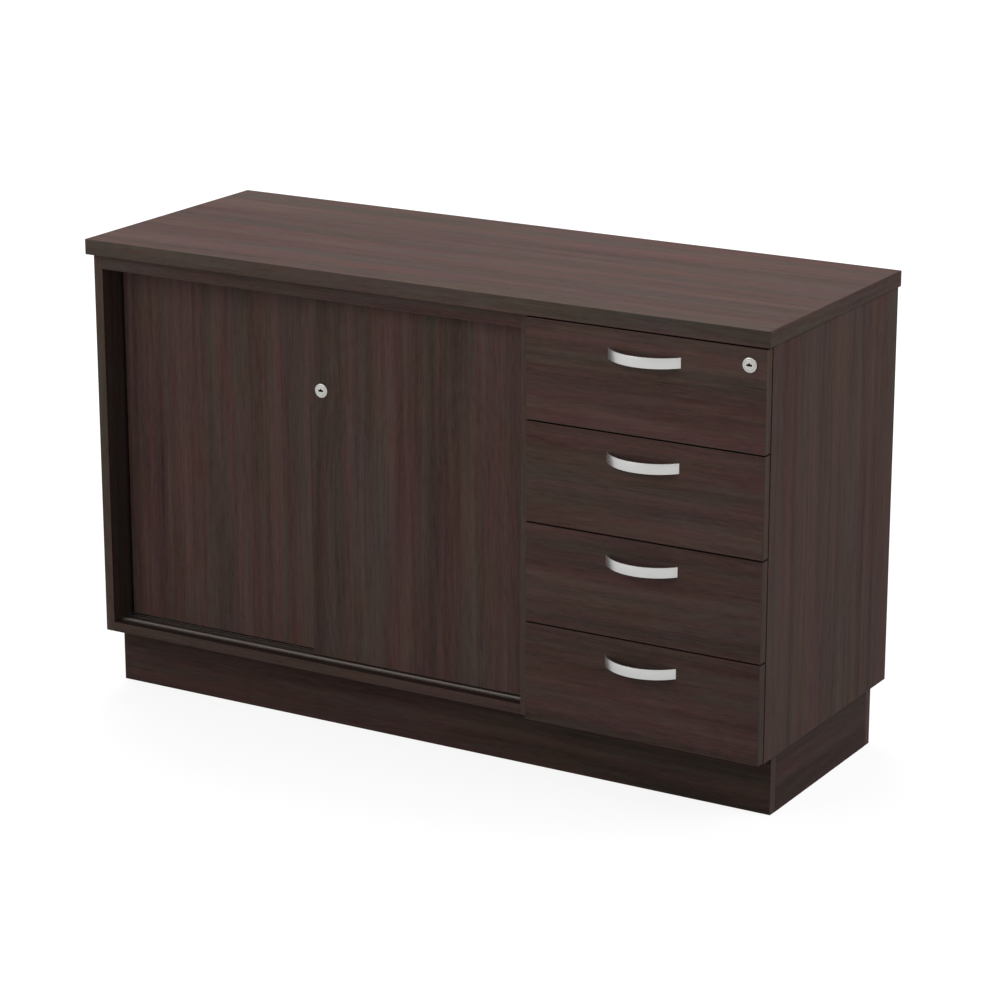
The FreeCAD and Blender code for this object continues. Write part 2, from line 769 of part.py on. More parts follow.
def drawer_front(number):
    z_start = drawer_bottom_edge(number)
    zs = (z_start, z_start + front_height)
    board = block((front_left, front_right), (drawer_face, drawer_front_back), zs)
    board = board.cut(drawer_base_space(number, panel_play))
    for place in handle_screw_places(number):
        board = board.cut(handle_screw(place, fit))
    if number == 1:
        board = board.cut(lock_hole(lock_axis_x, lock_axis_z, drawer_face))
    return board


def handle(number):
    """An arched flat strip that meets the front at both ends, with a threaded post near each end."""
    z = drawer_bottom_edge(number) + front_height - handle_drop
    half_chord = handle_chord / 2
    radius = (half_chord ** 2 + handle_rise ** 2) / (2 * handle_rise)
    centre = (front_middle, drawer_face + radius - handle_rise, z - handle_height / 2)
    ring = rod(2 * radius, handle_height, centre, Z_AXIS)
    ring = ring.cut(rod(2 * (radius - handle_metal), handle_height, centre, Z_AXIS))
    rims = [edge for edge in ring.Edges if edge.Curve.TypeId == "Part::GeomCircle"]
    ring = ring.makeChamfer(handle_edge_bevel, rims)
    xs = (front_middle - radius, front_middle + radius)
    zs = (centre[2], centre[2] + handle_height)
    strip = ring.common(block(xs, (drawer_face - handle_rise, drawer_face), zs))
    post_cutter = rod(2 * (radius - handle_metal / 2), handle_height, centre, Z_AXIS)
    for x, post_z in handle_screw_places(number):
        post = rod(handle_post_diameter, handle_rise, (x, drawer_face - handle_rise, post_z), Y_AXIS)
        strip = strip.fuse(post.common(post_cutter))
    for place in handle_screw_places(number):
        strip = strip.cut(handle_screw(place, fit))
    return strip


# ---------------------------------------------------------------- write every node
os.makedirs("parts", exist_ok=True)
save("worktop", [worktop()])
save("worktop_screws", [worktop_screw(place) for place in worktop_screw_places()])
save("cabinet_left_side", [cabinet_left_side()])
save("cabinet_right_side", [cabinet_right_side()])
save("cabinet_bottom", [cabinet_bottom()])
save("cabinet_top", [cabinet_top()])
save("cabinet_front_rail", [cabinet_front_rail()])
save("cabinet_back", [back_panel(cabinet_in_left, cabinet_in_right)])
save("shelf", [shelf()])
save("shelf_pins", shelf_pins())
save("bottom_track", [bottom_track()])
save("top_track", [top_track()])
save("pedestal_left_side", [pedestal_left_side()])
save("pedestal_right_side", [pedestal_right_side()])
save("pedestal_bottom", [pedestal_bottom()])
save("pedestal_top_rails", pedestal_top_rails())
save("pedestal_back", [back_panel(pedestal_in_left, pedestal_in_right)])
save("module_bolts", [module_bolt(place) for place in module_bolt_places()])
save("carcass_cams", [cam(joint) for joint in all_joints])
save("carcass_cam_bolts", [cam_bolt(joint) for joint in all_joints])
save("plinth_front", [plinth_board(plinth_front_y)])
save("plinth_back", [plinth_board(plinth_back_y - panel)])
save("plinth_cross_rails", plinth_cross_rails())

left_door = door(left_door_left, left_door_face)
right_door = door(right_door_left, right_door_face).cut(lock_hole(door_lock_x, door_lock_z, right_door_face))
door_lock_body = panel + door_lock_reach
save("left_door", [left_door])
save("left_door_guides", door_guides(left_door_left, door_middles[1]))
save("right_door", [right_door])
save("right_door_guides", door_guides(right_door_left, door_middles[0]))
save("door_lock_housing", [lock_housing(door_lock_x, door_lock_z, right_door_face, door_lock_body,
                                        bolt_diameter)])
save("door_lock_nut", [lock_nut(door_lock_x, door_lock_z, right_door_face + panel)])
save("door_lock_plug", [door_lock_plug()])
save("door_lock_bolt", [door_lock_bolt()])

drawer_lock_body = panel + drawer_lock_reach
save("drawer_lock_housing", [lock_housing(lock_axis_x, lock_axis_z, drawer_face, drawer_lock_body,
                                          plug_shaft_diameter)])
save("drawer_lock_nut", [lock_nut(lock_axis_x, lock_axis_z, drawer_front_back)])
save("drawer_lock_plug", [drawer_lock_plug()])
save("drawer_lock_bar", [drawer_lock_bar()])
save("drawer_runners", drawer_runners())
for number in range(1, drawer_count + 1):
    name = "drawer_" + str(number)
    save(name + "_front", [drawer_front(number)])
    save(name + "_box", drawer_box(number))
    save(name + "_base", [drawer_base_space(number, 0.0)])
    save(name + "_handle", [handle(number)])
    save(name + "_handle_screws", [handle_screw(place) for place in handle_screw_places(number)])
    save(name + "_slides", drawer_slides(number))
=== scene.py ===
"""Office credenza, dressed: faced boards with eased and banded edges, satin handles, turned locks."""
import math
import bmesh
import bpy
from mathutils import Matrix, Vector


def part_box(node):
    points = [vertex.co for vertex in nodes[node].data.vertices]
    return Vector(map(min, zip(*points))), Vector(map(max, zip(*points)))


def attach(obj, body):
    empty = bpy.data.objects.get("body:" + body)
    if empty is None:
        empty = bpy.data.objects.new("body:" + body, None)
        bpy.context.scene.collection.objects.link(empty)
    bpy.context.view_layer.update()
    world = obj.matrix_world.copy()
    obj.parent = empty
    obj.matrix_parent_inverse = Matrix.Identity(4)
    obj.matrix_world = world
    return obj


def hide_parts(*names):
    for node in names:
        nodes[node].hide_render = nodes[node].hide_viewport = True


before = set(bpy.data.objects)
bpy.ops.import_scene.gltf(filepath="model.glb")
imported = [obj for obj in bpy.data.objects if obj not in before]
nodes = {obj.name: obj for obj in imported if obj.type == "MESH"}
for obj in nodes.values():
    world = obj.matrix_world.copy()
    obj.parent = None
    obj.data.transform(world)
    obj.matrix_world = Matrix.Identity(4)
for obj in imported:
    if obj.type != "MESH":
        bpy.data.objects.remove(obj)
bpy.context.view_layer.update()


# ---------------------------------------------------------------- worktop
# One 25 mm particle board over both halves, faced with dark walnut decor that runs along its length.
# Its four edges are closed with 2 mm edging, rounded over; screws hold it from below.
def add(tree, kind, inputs=None, **settings):
    """A shader node with its settings and inputs; an input is a value or another node's output."""
    made = tree.nodes.new("ShaderNode" + kind)
    for setting, value in settings.items():
        setattr(made, setting, value)
    for place, value in (inputs or {}).items():
        if isinstance(value, bpy.types.NodeSocket):
            tree.links.new(value, made.inputs[place])
        else:
            made.inputs[place].default_value = value
    return made


def maths(tree, operation, first, second=0.0, third=0.0):
    """The result of one sum on values or other nodes' outputs."""
    return add(tree, "Math", {0: first, 1: second, 2: third}, operation=operation).outputs[0]


def weighed(tree, start, *parts):
    """A start value with (noise, weight) pairs added to it."""
    for noise, weight in parts:
        start = maths(tree, "MULTIPLY_ADD", noise, weight, start)
    return start


def around(tree, middle, *parts):
    """A value that (noise, spread) pairs swing evenly round its middle."""
    return weighed(tree, middle - sum(spread for _, spread in parts) / 2, *parts)


def plain_noise(tree, place, scale, detail=2.0):
    """Cloudy noise, alike in all directions."""
    return add(tree, "TexNoise", {"Vector": place, "Scale": scale, "Detail": detail}).outputs[0]


def stretched_noise(tree, place, along, across, detail=2.0, keep=0.55):
    """Noise drawn out along the grain, in cycles per metre; keep is what each finer layer keeps."""
    drawn = add(tree, "Mapping", {"Vector": place, "Scale": (along, across, across)})
    inputs = {"Vector": drawn.outputs[0], "Scale": 1.0, "Detail": detail, "Roughness": keep}
    return add(tree, "TexNoise", inputs).outputs[0]


def scaled(tree, colour, depth):
    """A colour made lighter or darker by a factor."""
    return add(tree, "VectorMath", {0: colour, "Scale": depth}, operation="SCALE").outputs[0]


def mixed_colour(tree, share, first, second):
    """The first colour where share is 0, the second where it is 1."""
    inputs = {"Factor": share, "A": (*first, 1), "B": (*second, 1)}
    return add(tree, "Mix", inputs, data_type="RGBA").outputs["Result"]


def walnut_pattern():
    """The printed decor with its grain along X: bands of two browns, figure, streaks of all widths, pores."""
    group = bpy.data.node_groups.new("walnut decor", "ShaderNodeTree")
    sockets = {"INPUT": (("Vector", "Vector"), ("Redness", "Float"), ("Lightness", "Float")),
               "OUTPUT": (("Color", "Color"), ("Roughness", "Float"), ("Height", "Float"))}
    for side, offered in sockets.items():
        for name, kind in offered:
            group.interface.new_socket(name, in_out=side, socket_type="NodeSocket" + kind)
    source = group.nodes.new("NodeGroupInput")
    place = source.outputs["Vector"]

    slow_sway = stretched_noise(group, place, along=2.6, across=7.0)
    ripple = stretched_noise(group, place, along=22.0, across=30.0)
    sway = weighed(group, -0.006, (slow_sway, 0.012), (ripple, 0.0022))
    offset = add(group, "CombineXYZ", {"Y": sway, "Z": sway}).outputs[0]
    wavy = add(group, "VectorMath", {0: place, 1: offset}, operation="ADD").outputs[0]

    figure_lines = 110.0
    contours = stretched_noise(group, wavy, along=1.7, across=9.0, detail=0.0)
    figure = maths(group, "SINE", maths(group, "MULTIPLY", contours, figure_lines))
    bands = stretched_noise(group, wavy, along=0.9, across=24.0, detail=2.5, keep=0.85)
    cool = stretched_noise(group, wavy, along=4.5, across=21.0, keep=0.8)
    streaks = stretched_noise(group, wavy, along=0.7, across=16.0, detail=5.0, keep=0.8)
    veins = stretched_noise(group, wavy, along=1.7, across=62.0, detail=1.5, keep=0.8)
    flecks = stretched_noise(group, wavy, along=45.0, across=270.0, detail=1.0, keep=0.7)
    lines = stretched_noise(group, wavy, along=12.0, across=620.0, detail=1.0)
    pores = stretched_noise(group, wavy, along=45.0, across=1300.0, detail=1.0)
    pores = add(group, "MapRange", {"Value": pores, "From Min": 0.6, "From Max": 0.72}).outputs[0]

    grey_brown, red_brown = (0.0545, 0.0450, 0.0355), (0.0780, 0.0378, 0.0350)
    olive_cast, violet_cast = (1.05, 1.01, 0.84), (0.95, 0.99, 1.18)
    even_mix = maths(group, "ADD", source.outputs["Redness"], -0.55)
    red = weighed(group, even_mix, (bands, 2.1), (figure, 0.07))
    tone = mixed_colour(group, red, grey_brown, red_brown)
    cast = mixed_colour(group, cool, olive_cast, violet_cast)
    tone = add(group, "VectorMath", {0: tone, 1: cast}, operation="MULTIPLY").outputs[0]
    depth = weighed(group, -0.40, (streaks, 1.6), (veins, 0.60), (flecks, 0.40), (lines, 0.30),
                    (figure, -0.03), (pores, -0.25))
    depth = maths(group, "MULTIPLY", depth, source.outputs["Lightness"])
    result = group.nodes.new("NodeGroupOutput")
    group.links.new(scaled(group, tone, depth), result.inputs["Color"])
    group.links.new(weighed(group, 0.38, (streaks, 0.16)), result.inputs["Roughness"])
    group.links.new(weighed(group, 0.0, (lines, 0.4), (pores, -1.0)), result.inputs["Height"])
    return group


def new_material(name):
    """A material to fill in, its tree and shader, and the Object coordinates that its pattern hangs on."""
    material = bpy.data.materials.new(name)
    material.use_nodes = True
    tree = material.node_tree
    return material, tree, tree.nodes["Principled BSDF"], add(tree, "TexCoord").outputs["Object"]


def wire(tree, shader, colour, rough, height, strength, distance):
    """Hand a pattern's colour, roughness and fine relief to the shader."""
    bump = add(tree, "Bump", {"Height": height, "Strength": strength, "Distance": distance})
    tree.links.new(colour, shader.inputs["Base Color"])
    tree.links.new(rough, shader.inputs["Roughness"])
    tree.links.new(bump.outputs[0], shader.inputs["Normal"])


walnut_decor = walnut_pattern()


def walnut(name, grain, shift, redness=0.0, lightness=1.0):
    """Low-sheen walnut foil, its grain along X, Y or Z; shift slides the print, so no two boards match."""
    material, tree, shader, place = new_material(name)
    slid = add(tree, "Mapping", {"Vector": place, "Location": shift}).outputs[0]
    axes = add(tree, "SeparateXYZ", {"Vector": slid}).outputs
    order = {"X": "XYZ", "Y": "YZX", "Z": "ZXY"}[grain]
    along_grain = add(tree, "CombineXYZ", {i: axes[axis] for i, axis in enumerate(order)}).outputs[0]
    decor = tree.nodes.new("ShaderNodeGroup")
    decor.node_tree = walnut_decor
    decor.inputs["Redness"].default_value = redness
    decor.inputs["Lightness"].default_value = lightness
    tree.links.new(along_grain, decor.inputs["Vector"])
    colour, rough, height = decor.outputs
    wire(tree, shader, colour, rough, height, strength=0.25, distance=0.0002)
    shader.inputs["Specular IOR Level"].default_value = 0.01
    return material


edging = {}
for axis in "XYZ":
    name = "walnut edging along " + axis
    edging[axis] = walnut(name, axis, (0.31, 0.17, 0.23), redness=-0.22, lightness=1.07)
board_sides = {"left": (0, 0), "right": (0, 1), "front": (1, 0), "back": (1, 1),
               "bottom": (2, 0), "top": (2, 1)}


def pick_up(piece):
    """Deselect everything else and open the piece for editing."""
    bpy.ops.object.select_all(action="DESELECT")
    piece.select_set(True)
    bpy.context.view_layer.objects.active = piece
    bpy.ops.object.mode_set(mode="EDIT")


def pick(piece, kind, test):
    """Select only those edges or faces of the opened piece whose corners pass the test."""
    bpy.ops.mesh.select_mode(type=kind)
    bpy.ops.mesh.select_all(action="DESELECT")
    mesh = bmesh.from_edit_mesh(piece.data)
    for part in {"EDGE": mesh.edges, "FACE": mesh.faces}[kind]:
        if test([corner.co for corner in part.verts]):
            part.select_set(True)
    bmesh.update_edit_mesh(piece.data)


def put_down(piece):
    """Close the opened piece."""
    bpy.ops.object.mode_set(mode="OBJECT")
    piece.select_set(False)


def sawn(name, low, high):
    """A blank cut to size between two corners."""
    bpy.ops.object.select_all(action="DESELECT")
    middle = [(a + b) / 2 for a, b in zip(low, high)]
    size = [b - a for a, b in zip(low, high)]
    bpy.ops.mesh.primitive_cube_add(size=1, location=middle, scale=size)
    piece = bpy.context.object
    piece.name = name
    bpy.ops.object.transform_apply(location=True, rotation=True, scale=True)
    return piece


def bored(name, node):
    """A board as it leaves the drilling machine, with all its bores and grooves, in large flat faces."""
    piece = bpy.data.objects.new(name, nodes[node].data.copy())
    bpy.context.scene.collection.objects.link(piece)
    pick_up(piece)
    bpy.ops.mesh.customdata_custom_splitnormals_clear()
    bpy.ops.mesh.select_all(action="SELECT")
    bpy.ops.mesh.remove_doubles(threshold=0.00001)
    bpy.ops.mesh.dissolve_limited(angle_limit=math.radians(1))
    put_down(piece)
    return piece


def band(piece, low, high, banded, face, arris=0.0006, edge_thickness=0.001, steps=2):
    """Ease every outer arris, glue edging on the named sides and face the rest with decor."""
    touch = 0.00001

    def on_arris(ends):
        """Whether an edge lies in two of the blank's six planes."""
        planes = [plane for plane in (low, high) for i in range(3)
                  if all(abs(end[i] - plane[i]) < touch for end in ends)]
        return len(planes) == 2

    pick_up(piece)
    pick(piece, "EDGE", on_arris)
    bpy.ops.mesh.bevel(offset=arris, segments=steps, profile=0.5, affect="EDGES", clamp_overlap=False)
    strips = []
    for side in banded.split():
        axis, end = board_sides[side]
        inward = -1 if end else 1
        line = (high if end else low)[axis] + inward * edge_thickness
        strips.append((axis, line, inward))
        normal = [float(i == axis) for i in range(3)]
        point = [line if i == axis else low[i] for i in range(3)]
        bpy.ops.mesh.select_all(action="SELECT")
        bpy.ops.mesh.bisect(plane_co=point, plane_no=normal)
    put_down(piece)
    piece.data.materials.clear()
    piece.data.materials.append(face)
    for polygon in piece.data.polygons:
        polygon.material_index = 0
    size = [b - a for a, b in zip(low, high)]
    thin = size.index(min(size))
    for axis, line, inward in strips:
        strip = edging["XYZ"[3 - axis - thin]]
        if strip.name not in piece.data.materials:
            piece.data.materials.append(strip)
        for polygon in piece.data.polygons:
            if (polygon.center[axis] - line) * inward < 0:
                polygon.material_index = piece.data.materials.find(strip.name)


def board(name, node, body, banded, face, blank=None, **easing):
    """A faced board in a node's place, riding with its body."""
    low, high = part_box(node)
    piece = blank or sawn(name, low, high)
    band(piece, low, high, banded, face, **easing)
    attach(piece, body)
    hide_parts(node)
    return piece


worktop_face = walnut("walnut worktop", "X", (0.0, 0.0, 0.0), redness=0.05)
board("worktop_board", "worktop", "carcass", "left right front back", worktop_face,
      arris=0.0015, edge_thickness=0.002, steps=4)


# ---------------------------------------------------------------- carcass sides
# Four upright 16 mm boards, two to each half, with the grain upright and edging on all four edges.
# They are bored for the cam bolts and shelf pins; the right one has a groove for the lock bar.
def bored_board(node, banded, face):
    """A board of the carcass that keeps its node's bores and grooves."""
    return board(node + "_board", node, "carcass", banded, face, bored(node + "_board", node))


for number, half in enumerate(("cabinet_left", "cabinet_right", "pedestal_left", "pedestal_right")):
    node = half + "_side"
    shift = (0.37 * number + 0.11, 0.29 * number + 0.05, 0.13)
    bored_board(node, "front back bottom top", walnut("walnut " + node.replace("_", " "), "Z", shift))


# ---------------------------------------------------------------- carcass bottoms, top and rails
# Flat 16 mm boards between the sides, held with cams let into their hidden faces; the two bottoms are
# edged in front and behind. The front rail stands on edge under the worktop and hides the upper track.
def paint(material, *names):
    """Finish nodes whose solids show as they are."""
    for node in names:
        nodes[node].material_slots[0].material = material


flat_face = walnut("walnut flat boards", "X", (0.2, 0.41, 0.07), redness=-0.05)
# The cabinet bottom's face at half lightness and its front edging at 0.85 are painted shade, in the recess in
# front of the doors and along its foot.
shaded_bottom_face = walnut("walnut cabinet bottom", "X", (0.6, 0.33, 0.2), redness=-0.05, lightness=0.5)
shaded_bottom_edging = walnut("walnut cabinet bottom edging", "X", (0.42, 0.27, 0.51), lightness=0.85)
cabinet_bottom = bored_board("cabinet_bottom", "front back", shaded_bottom_face)
cabinet_bottom.data.materials[cabinet_bottom.data.materials.find(edging["X"].name)] = shaded_bottom_edging
bored_board("pedestal_bottom", "front back", flat_face)
rail_face = walnut("walnut front rail", "X", (0.5, 0.12, 0.33), redness=-0.2, lightness=1.03)
board("front_rail_board", "cabinet_front_rail", "carcass", "bottom", rail_face)
paint(flat_face, "cabinet_top", "pedestal_top_rails")


# ---------------------------------------------------------------- shelf
# One loose 16 mm board in the cabinet, edged in front, on four steel pins pushed into the sides' rows.
board("shelf_board", "shelf", "carcass", "front", walnut("walnut shelf", "X", (0.9, 0.3, 0.6)))


# ---------------------------------------------------------------- backs
# Thin faced panels that close both halves, matt and with the grain upright.
paint(walnut("faced back panel", "Z", (0.71, 0.4, 0.9)), "cabinet_back", "pedestal_back")


# ---------------------------------------------------------------- plinth
# A frame of 16 mm boards on edge, set back under the carcass; its grain runs round the base.
# The ends of the front and back boards show at the corners as narrow upright strips of edging.
def shaded_plinth_face(name, grain, shift):
    """The carcass's decor darkened to 0.68: painted shade under the carcass's overhang."""
    return walnut("walnut plinth " + name, grain, shift, redness=-0.05, lightness=0.68)


for side, shift in (("front", (0.15, 0.6, 0.2)), ("back", (0.65, 0.2, 0.8))):
    node = "plinth_" + side
    board(node + "_board", node, "carcass", "left right bottom", shaded_plinth_face(side, "X", shift))
paint(shaded_plinth_face("ends", "Y", (0.45, 0.8, 0.1)), "plinth_cross_rails")


# ---------------------------------------------------------------- door tracks
# The lower track is an aluminium profile, anodised bronze-grey, with two grooves and a stepped front.
# The upper one is dark plastic under the cabinet top, and the guides and glides in the doors match it.
def metal(name, colour, rough, lines, amount):
    """Bright metal with fine tool lines, in cycles per metre along X, Y and Z; amount is their depth."""
    material, tree, shader, place = new_material(name)
    drawn = add(tree, "Mapping", {"Vector": place, "Scale": lines}).outputs[0]
    brush = plain_noise(tree, drawn, 1.0, detail=3.0)
    cloud = plain_noise(tree, place, 60.0)
    tint = scaled(tree, colour, around(tree, 1.0, (brush, 0.18 * amount), (cloud, 0.08)))
    gloss = around(tree, rough, (brush, 0.16 * amount))
    wire(tree, shader, tint, gloss, brush, strength=0.3 * amount, distance=0.00005)
    shader.inputs["Metallic"].default_value = 1.0
    return material


def plastic(name, colour, rough, grain=900.0):
    """Moulded plastic with a fine spark-eroded grain."""
    material, tree, shader, place = new_material(name)
    pits = plain_noise(tree, place, grain)
    cloud = plain_noise(tree, place, 25.0)
    tint = scaled(tree, colour, around(tree, 1.0, (cloud, 0.3)))
    wire(tree, shader, tint, around(tree, rough, (pits, 0.12)), pits, strength=0.2, distance=0.0001)
    shader.inputs["Specular IOR Level"].default_value = 0.35
    return material


track_aluminium = metal("anodised track aluminium", (0.227, 0.204, 0.188), rough=0.40,
                        lines=(3.0, 1500.0, 1500.0), amount=1.0)
paint(track_aluminium, "bottom_track")
dark_plastic = plastic("dark moulded plastic", (0.022, 0.018, 0.016), rough=0.5)
paint(dark_plastic, "top_track", "left_door_guides", "right_door_guides")


# ---------------------------------------------------------------- sliding doors
# Two plain 16 mm boards with upright grain, edged all round; the right one runs in front of the left.
# Neither has a pull: the right one carries the lock near its free edge, bored through for its body.
def rod(name, x, z, radius, y_front, y_back, sides=64):
    """A round bar that lies front to back."""
    bpy.ops.object.select_all(action="DESELECT")
    middle = (x, (y_front + y_back) / 2, z)
    bpy.ops.mesh.primitive_cylinder_add(vertices=sides, radius=radius, depth=y_back - y_front,
                                        location=middle, rotation=(math.pi / 2, 0, 0))
    piece = bpy.context.object
    piece.name = name
    bpy.ops.object.transform_apply(location=True, rotation=True, scale=True)
    return piece


def cut_away(piece, cutter):
    """Take the cutter's shape out of the piece."""
    cut = piece.modifiers.new("cut", "BOOLEAN")
    cut.operation = "DIFFERENCE"
    cut.solver = "EXACT"
    cut.object = cutter
    bpy.ops.object.select_all(action="DESELECT")
    piece.select_set(True)
    bpy.context.view_layer.objects.active = piece
    bpy.ops.object.modifier_apply(modifier=cut.name)
    bpy.data.objects.remove(cutter)


def drill(piece, node, x, z, radius):
    """Bore a round hole straight through a board."""
    low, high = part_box(node)
    over = 0.01
    cut_away(piece, rod("drill", x, z, radius, low.y - over, high.y + over))


def axis_of(node):
    """Where a round fitting's axis stands, as (x, z), to a tenth of a millimetre."""
    low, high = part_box(node)
    return round((low.x + high.x) / 2, 4), round((low.z + high.z) / 2, 4)


door_lock = axis_of("door_lock_housing")
lock_bore = 0.0096
door_arris = 0.001
all_round = "left right bottom top"
left_face = walnut("walnut left door", "Z", (0.05, 0.2, 0.4), redness=0.05, lightness=0.95)
board("left_door_board", "left_door", "left_door", all_round, left_face, arris=door_arris)
right_face = walnut("walnut right door", "Z", (0.52, 0.7, 0.85), redness=-0.04)
right_door = board("right_door_board", "right_door", "right_door", all_round, right_face, arris=door_arris)
drill(right_door, "right_door", *door_lock, lock_bore)


# ---------------------------------------------------------------- door lock
# A satin nickel lock: a bezel with a rounded rim and a body in one, a nut behind the door and a turning
# plug with a flat keyway. Turned, it drives a round bolt back past the left door's edge.
bezel_depth, bezel_radius, bezel_rounding = 0.0024, 0.0115, 0.0018
body_radius = 0.0095
head_radius, head_depth, head_rounding = 0.00825, 0.008, 0.0004
head_clearance, floor_clearance, well_chamfer = 0.00005, 0.0001, 0.0003
keyway_depth, keyway_reach, keyway_corner = 0.005, 0.006, 0.0006
keyway_cuts = {"slot": (0.0045, -0.0016, 0.0016), "notch": (0.0014, 0.0, 0.0031)}
door_body_length, bolt_radius, bolt_rounding = 0.020, 0.004, 0.0008
round_sides = 72


def nickel_finish(name, x, z):
    """Satin nickel with turning marks in circles round the lock's axis."""
    colour, rough, marks_per_metre = (0.43, 0.425, 0.41), 0.33, 5200.0
    material, tree, shader, place = new_material(name)
    centred = add(tree, "Mapping", {"Vector": place, "Location": (-x, 0, -z), "Scale": (1, 0, 1)}).outputs[0]
    radius = add(tree, "VectorMath", {0: centred}, operation="LENGTH").outputs["Value"]
    inputs = {"W": maths(tree, "MULTIPLY", radius, marks_per_metre), "Scale": 1.0, "Detail": 2.0}
    marks = add(tree, "TexNoise", inputs, noise_dimensions="1D").outputs[0]
    wear = plain_noise(tree, place, 420.0, detail=3.0)
    tint = scaled(tree, colour, around(tree, 1.0, (wear, 0.14)))
    wire(tree, shader, tint, around(tree, rough, (marks, 0.14)), marks, strength=0.22, distance=0.00004)
    shader.inputs["Metallic"].default_value = 1.0
    return material


def turned_ring(name, x, z, outline):
    """A turned, hollow piece: a ring drawn through (radius, y) steps and closed on its first one."""
    bpy.ops.object.select_all(action="DESELECT")
    radius, y = outline[0]
    bpy.ops.mesh.primitive_circle_add(vertices=round_sides, radius=radius, fill_type="NOTHING",
                                      location=(x, y, z), rotation=(math.pi / 2, 0, 0))
    piece = bpy.context.object
    piece.name = name
    bpy.ops.object.transform_apply(location=True, rotation=True, scale=True)
    pick_up(piece)
    bpy.ops.mesh.select_all(action="SELECT")
    for next_radius, next_y in outline[1:] + outline[:1]:
        bpy.ops.mesh.extrude_region_move(TRANSFORM_OT_translate={"value": (0, next_y - y, 0)})
        ratio = next_radius / radius
        bpy.ops.transform.resize(value=(ratio, 1, ratio), center_override=(x, next_y, z))
        radius, y = next_radius, next_y
    bpy.ops.mesh.select_all(action="SELECT")
    bpy.ops.mesh.remove_doubles(threshold=0.000005)
    bpy.ops.mesh.normals_make_consistent(inside=False)
    put_down(piece)
    return piece


def smooth(piece, degrees=35):
    """Shade the piece smooth, except over edges sharper than this."""
    bpy.ops.object.select_all(action="DESELECT")
    piece.select_set(True)
    bpy.context.view_layer.objects.active = piece
    bpy.ops.object.shade_smooth_by_angle(angle=math.radians(degrees))
    piece.select_set(False)


def rounded_rim(radius, y, size, steps=5):
    """Points of a quarter-round front rim, from its front to its side."""
    turns = [math.pi / 2 * i / steps for i in range(steps + 1)]
    return [(radius - size + size * math.sin(t), y + size - size * math.cos(t)) for t in turns]


def round_end(piece, y, size, steps=3):
    """Round the edge of a rod's end that lies at y."""
    touch = 0.0001
    pick_up(piece)
    pick(piece, "EDGE", lambda ends: all(abs(end.y - y) < touch for end in ends))
    bpy.ops.mesh.bevel(offset=size, segments=steps, affect="EDGES")
    put_down(piece)


def lock_housing(name, x, z, face, body_length, bore):
    """Bezel, body, the well for the plug's head and the bore behind it, all in one turned piece."""
    front, back = face - bezel_depth, face + body_length
    well, well_floor = head_radius + head_clearance, front + head_depth + floor_clearance
    outline = [(well, front + well_chamfer), (well + well_chamfer, front)]
    outline += rounded_rim(bezel_radius, front, bezel_rounding)
    outline += [(bezel_radius, face), (body_radius, face), (body_radius, back)]
    outline += [(bore, back), (bore, well_floor), (well, well_floor)]
    piece = turned_ring(name, x, z, outline)
    smooth(piece)
    return piece


def lock_plug(name, x, z, face):
    """The plug's head, its rim broken and its keyway cut: a flat slot with a small notch above the middle."""
    front, over = face - bezel_depth, 0.001
    piece = rod(name, x, z, head_radius, front, front + head_depth, sides=round_sides)
    round_end(piece, front, head_rounding)
    for cut, (half_width, bottom, top) in keyway_cuts.items():
        low = (x - half_width, front - over, z + bottom)
        high = (x + half_width, front + keyway_depth, z + top)
        cutter = sawn(cut, low, high)
        pick_up(cutter)
        pick(cutter, "EDGE", lambda ends: abs(ends[0].y - ends[1].y) > keyway_depth / 2)
        bpy.ops.mesh.bevel(offset=keyway_corner, segments=3, affect="EDGES")
        put_down(cutter)
        cut_away(piece, cutter)
    return piece


def fitting(piece, node, body, finish):
    """Finish a fitting, hand it to its body and let it stand for its node."""
    piece.data.materials.clear()
    piece.data.materials.append(finish)
    for polygon in piece.data.polygons:
        polygon.material_index = 0
    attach(piece, body)
    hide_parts(node)


# The keyway's faces are painted near-black: partly the dark tumblers inside, partly painted shade in the
# narrow slot.
keyway_tumblers_and_shade = plastic("oiled tumblers and painted shade in the keyway", (0.006, 0.005, 0.005), rough=0.45, grain=2400.0)


def paint_keyway_dark_and_shade(piece, x, z, face):
    """Paint the keyway's walls and floor near-black: the dark tumblers inside, and painted shade in the slot.
    """
    front, touch = face - bezel_depth, 0.0002
    piece.data.materials.append(keyway_tumblers_and_shade)
    for polygon in piece.data.polygons:
        middle = polygon.center
        inside = front + touch < middle.y < front + keyway_depth + touch
        if inside and math.hypot(middle.x - x, middle.z - z) < keyway_reach:
            polygon.material_index = 1


door_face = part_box("right_door")[0].y
door_nickel = nickel_finish("satin nickel, door lock", *door_lock)
bolt_bore = bolt_radius + head_clearance
housing = lock_housing("door_lock_bezel", *door_lock, door_face, door_body_length, bolt_bore)
fitting(housing, "door_lock_housing", "right_door", door_nickel)
plug = lock_plug("door_lock_key_plug", *door_lock, door_face)
smooth(plug)
fitting(plug, "door_lock_plug", "door_lock_plug", door_nickel)
paint_keyway_dark_and_shade(plug, *door_lock, door_face)
low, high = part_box("door_lock_bolt")
bolt = rod("door_lock_round_bolt", *door_lock, bolt_radius, low.y, high.y, sides=48)
round_end(bolt, high.y, bolt_rounding, steps=4)
smooth(bolt)
fitting(bolt, "door_lock_bolt", "door_lock_bolt", door_nickel)
paint(door_nickel, "door_lock_nut")
